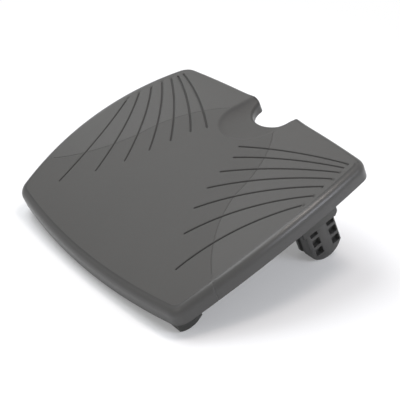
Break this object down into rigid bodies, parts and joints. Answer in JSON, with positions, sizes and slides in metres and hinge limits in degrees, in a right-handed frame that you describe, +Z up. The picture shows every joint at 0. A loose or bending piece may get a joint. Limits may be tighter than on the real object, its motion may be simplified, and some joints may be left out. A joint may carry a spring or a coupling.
{
  "type": "under-desk footrest",
  "caption": "Tilting under-desk footrest: an arched deck on a round-bottomed front bar and two rear legs that slide in sockets to set the slope.",
  "frame": {"origin": "on the floor, at the centre of the whole footrest's bounding box seen from above", "axes": "+X across the width, towards the side named right; +Y from the low front edge to the high rear edge with the hand notch; +Z up"},
  "size_m": [0.454, 0.3382, 0.1617],
  "materials": {
    "deck_plastic": "fine moulded texture on top, satin rounded edge",
    "foot_plastic": "smooth moulded, satin",
    "tread_rubber": "matte",
    "spring_steel": "cold-rolled strip",
    "screw_steel": "zinc plated"
  },
  "bodies": {
    "deck": {"deck_tray": "deck_plastic", "front_foot_bar": "foot_plastic", "front_bar_screws": "screw_steel", "right_leg_socket": "foot_plastic", "right_socket_screws": "screw_steel", "right_detent_spring": "spring_steel", "right_spring_cover": "foot_plastic", "right_cover_screws": "screw_steel", "right_bar_tread": "tread_rubber", "right_bar_end_cap": "foot_plastic", "left_leg_socket": "foot_plastic", "left_socket_screws": "screw_steel", "left_detent_spring": "spring_steel", "left_spring_cover": "foot_plastic", "left_cover_screws": "screw_steel", "left_bar_tread": "tread_rubber", "left_bar_end_cap": "foot_plastic"},
    "right_leg": {"right_leg": "foot_plastic", "right_leg_tread": "tread_rubber"},
    "left_leg": {"left_leg": "foot_plastic", "left_leg_tread": "tread_rubber"}
  },
  "joints": [
    {"name": "right_leg_slide", "type": "slide", "parent": "deck", "child": "right_leg", "axis": [0, 0.3744, -0.9273], "range_m": [-0.0346, 0], "deforming": ["right_detent_spring"]},
    {"name": "left_leg_slide", "type": "slide", "parent": "deck", "child": "left_leg", "axis": [0, 0.3744, -0.9273], "range_m": [-0.0346, 0], "deforming": ["left_detent_spring"]}
  ]
}
